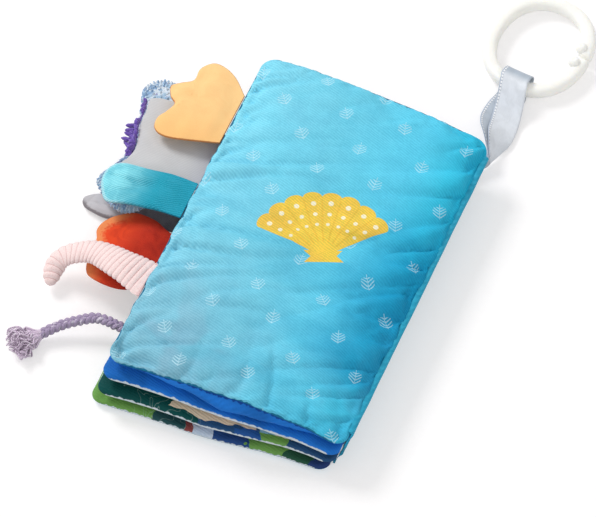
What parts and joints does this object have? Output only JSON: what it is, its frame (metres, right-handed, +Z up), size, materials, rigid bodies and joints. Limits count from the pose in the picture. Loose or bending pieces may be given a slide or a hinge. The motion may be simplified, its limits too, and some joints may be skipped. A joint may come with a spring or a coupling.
{
  "type": "crinkle cloth book",
  "caption": "Soft padded cloth book lying closed, with fabric tails on its fore edge, a braided cord, and a plastic link ring on a satin ribbon.",
  "frame": {"origin": "middle of the bottom cover's flat underside", "axes": "+X towards the spine, +Y towards the ring end, +Z up out of the front cover"},
  "size_m": [0.2032, 0.313, 0.0361],
  "materials": {
    "turquoise_twill": "printed twill, satin",
    "royal_blue_print": "printed cloth",
    "sea_green_print": "printed cloth",
    "leaf_green_print": "printed cloth",
    "white_wadding": "loose polyester wadding",
    "clear_film": "thin crackling film",
    "orange_velour": "velour",
    "turquoise_minky": "short plush",
    "grey_satin": "smooth knit",
    "purple_chenille": "chenille loops",
    "red_velour": "velour",
    "pale_blue_plush": "speckled plush",
    "dark_grey_velvet": "velvet",
    "pink_corduroy": "wide-wale corduroy",
    "lilac_cord": "braided cotton",
    "blue_grey_ribbon": "satin ribbon",
    "milky_plastic": "milky, satin gloss"
  },
  "bodies": {
    "bottom_cover": {"cover_bottom_upper_cloth": "leaf_green_print", "cover_bottom_lower_cloth": "turquoise_twill", "cover_bottom_crinkle_film": "clear_film", "cover_bottom_wadding": "white_wadding", "spine_cover_bottom": "turquoise_twill", "ribbon_base": "blue_grey_ribbon"},
    "second_leaf": {"leaf_2_upper_cloth": "sea_green_print", "leaf_2_lower_cloth": "leaf_green_print", "leaf_2_crinkle_film": "clear_film", "leaf_2_wadding": "white_wadding", "spine_leaf_2": "turquoise_twill", "tail_plush": "pale_blue_plush", "tail_velvet": "dark_grey_velvet", "cord": "lilac_cord", "cord_tuft": "lilac_cord"},
    "first_leaf": {"leaf_1_upper_cloth": "royal_blue_print", "leaf_1_lower_cloth": "sea_green_print", "leaf_1_crinkle_film": "clear_film", "leaf_1_wadding": "white_wadding", "spine_leaf_1": "turquoise_twill", "tail_grey": "grey_satin", "tail_grey_fringe": "purple_chenille", "tail_red": "red_velour"},
    "top_cover": {"cover_top_upper_cloth": "turquoise_twill", "cover_top_lower_cloth": "royal_blue_print", "cover_top_crinkle_film": "clear_film", "cover_top_wadding": "white_wadding", "spine_cover_top": "turquoise_twill"},
    "orange_tail": {"tail_orange": "orange_velour"},
    "turquoise_tail": {"tail_turquoise": "turquoise_minky"},
    "pink_tail": {"tail_pink": "pink_corduroy"},
    "ribbon": {"ribbon_loop": "blue_grey_ribbon"},
    "ring": {"link_ring": "milky_plastic"}
  },
  "joints": [
    {"name": "second_leaf_turn", "type": "hinge", "parent": "bottom_cover", "child": "second_leaf", "pos_m": [0.0691, 0, 0.01205], "axis": [0, 1, 0], "range_deg": [0, 175]},
    {"name": "first_leaf_turn", "type": "hinge", "parent": "second_leaf", "child": "first_leaf", "pos_m": [0.0691, 0, 0.01205], "axis": [0, -1, 0], "range_deg": [-175, 0]},
    {"name": "top_cover_turn", "type": "hinge", "parent": "first_leaf", "child": "top_cover", "pos_m": [0.0691, 0, 0.01205], "axis": [0, 1, 0], "range_deg": [0, 175]},
    {"name": "orange_tail_bend", "type": "hinge", "parent": "top_cover", "child": "orange_tail", "pos_m": [-0.0551, 0, 0.0302], "axis": [0, 1, 0], "range_deg": [0, 75]},
    {"name": "turquoise_tail_bend", "type": "hinge", "parent": "top_cover", "child": "turquoise_tail", "pos_m": [-0.0551, 0, 0.0302], "axis": [0, 1, 0], "range_deg": [0, 75]},
    {"name": "pink_tail_bend", "type": "hinge", "parent": "top_cover", "child": "pink_tail", "pos_m": [-0.0551, 0, 0.0302], "axis": [0, 1, 0], "range_deg": [0, 75]},
    {"name": "ribbon_swing", "type": "hinge", "parent": "bottom_cover", "child": "ribbon", "pos_m": [0.0654, 0.1092, 0], "axis": [0, 0, 1], "range_deg": [-45, 45]},
    {"name": "ring_swing", "type": "hinge", "parent": "ribbon", "child": "ring", "pos_m": [0.0603, 0.157, 0.005], "axis": [0.9945, -0.1045, 0], "range_deg": [0, 110]}
  ]
}
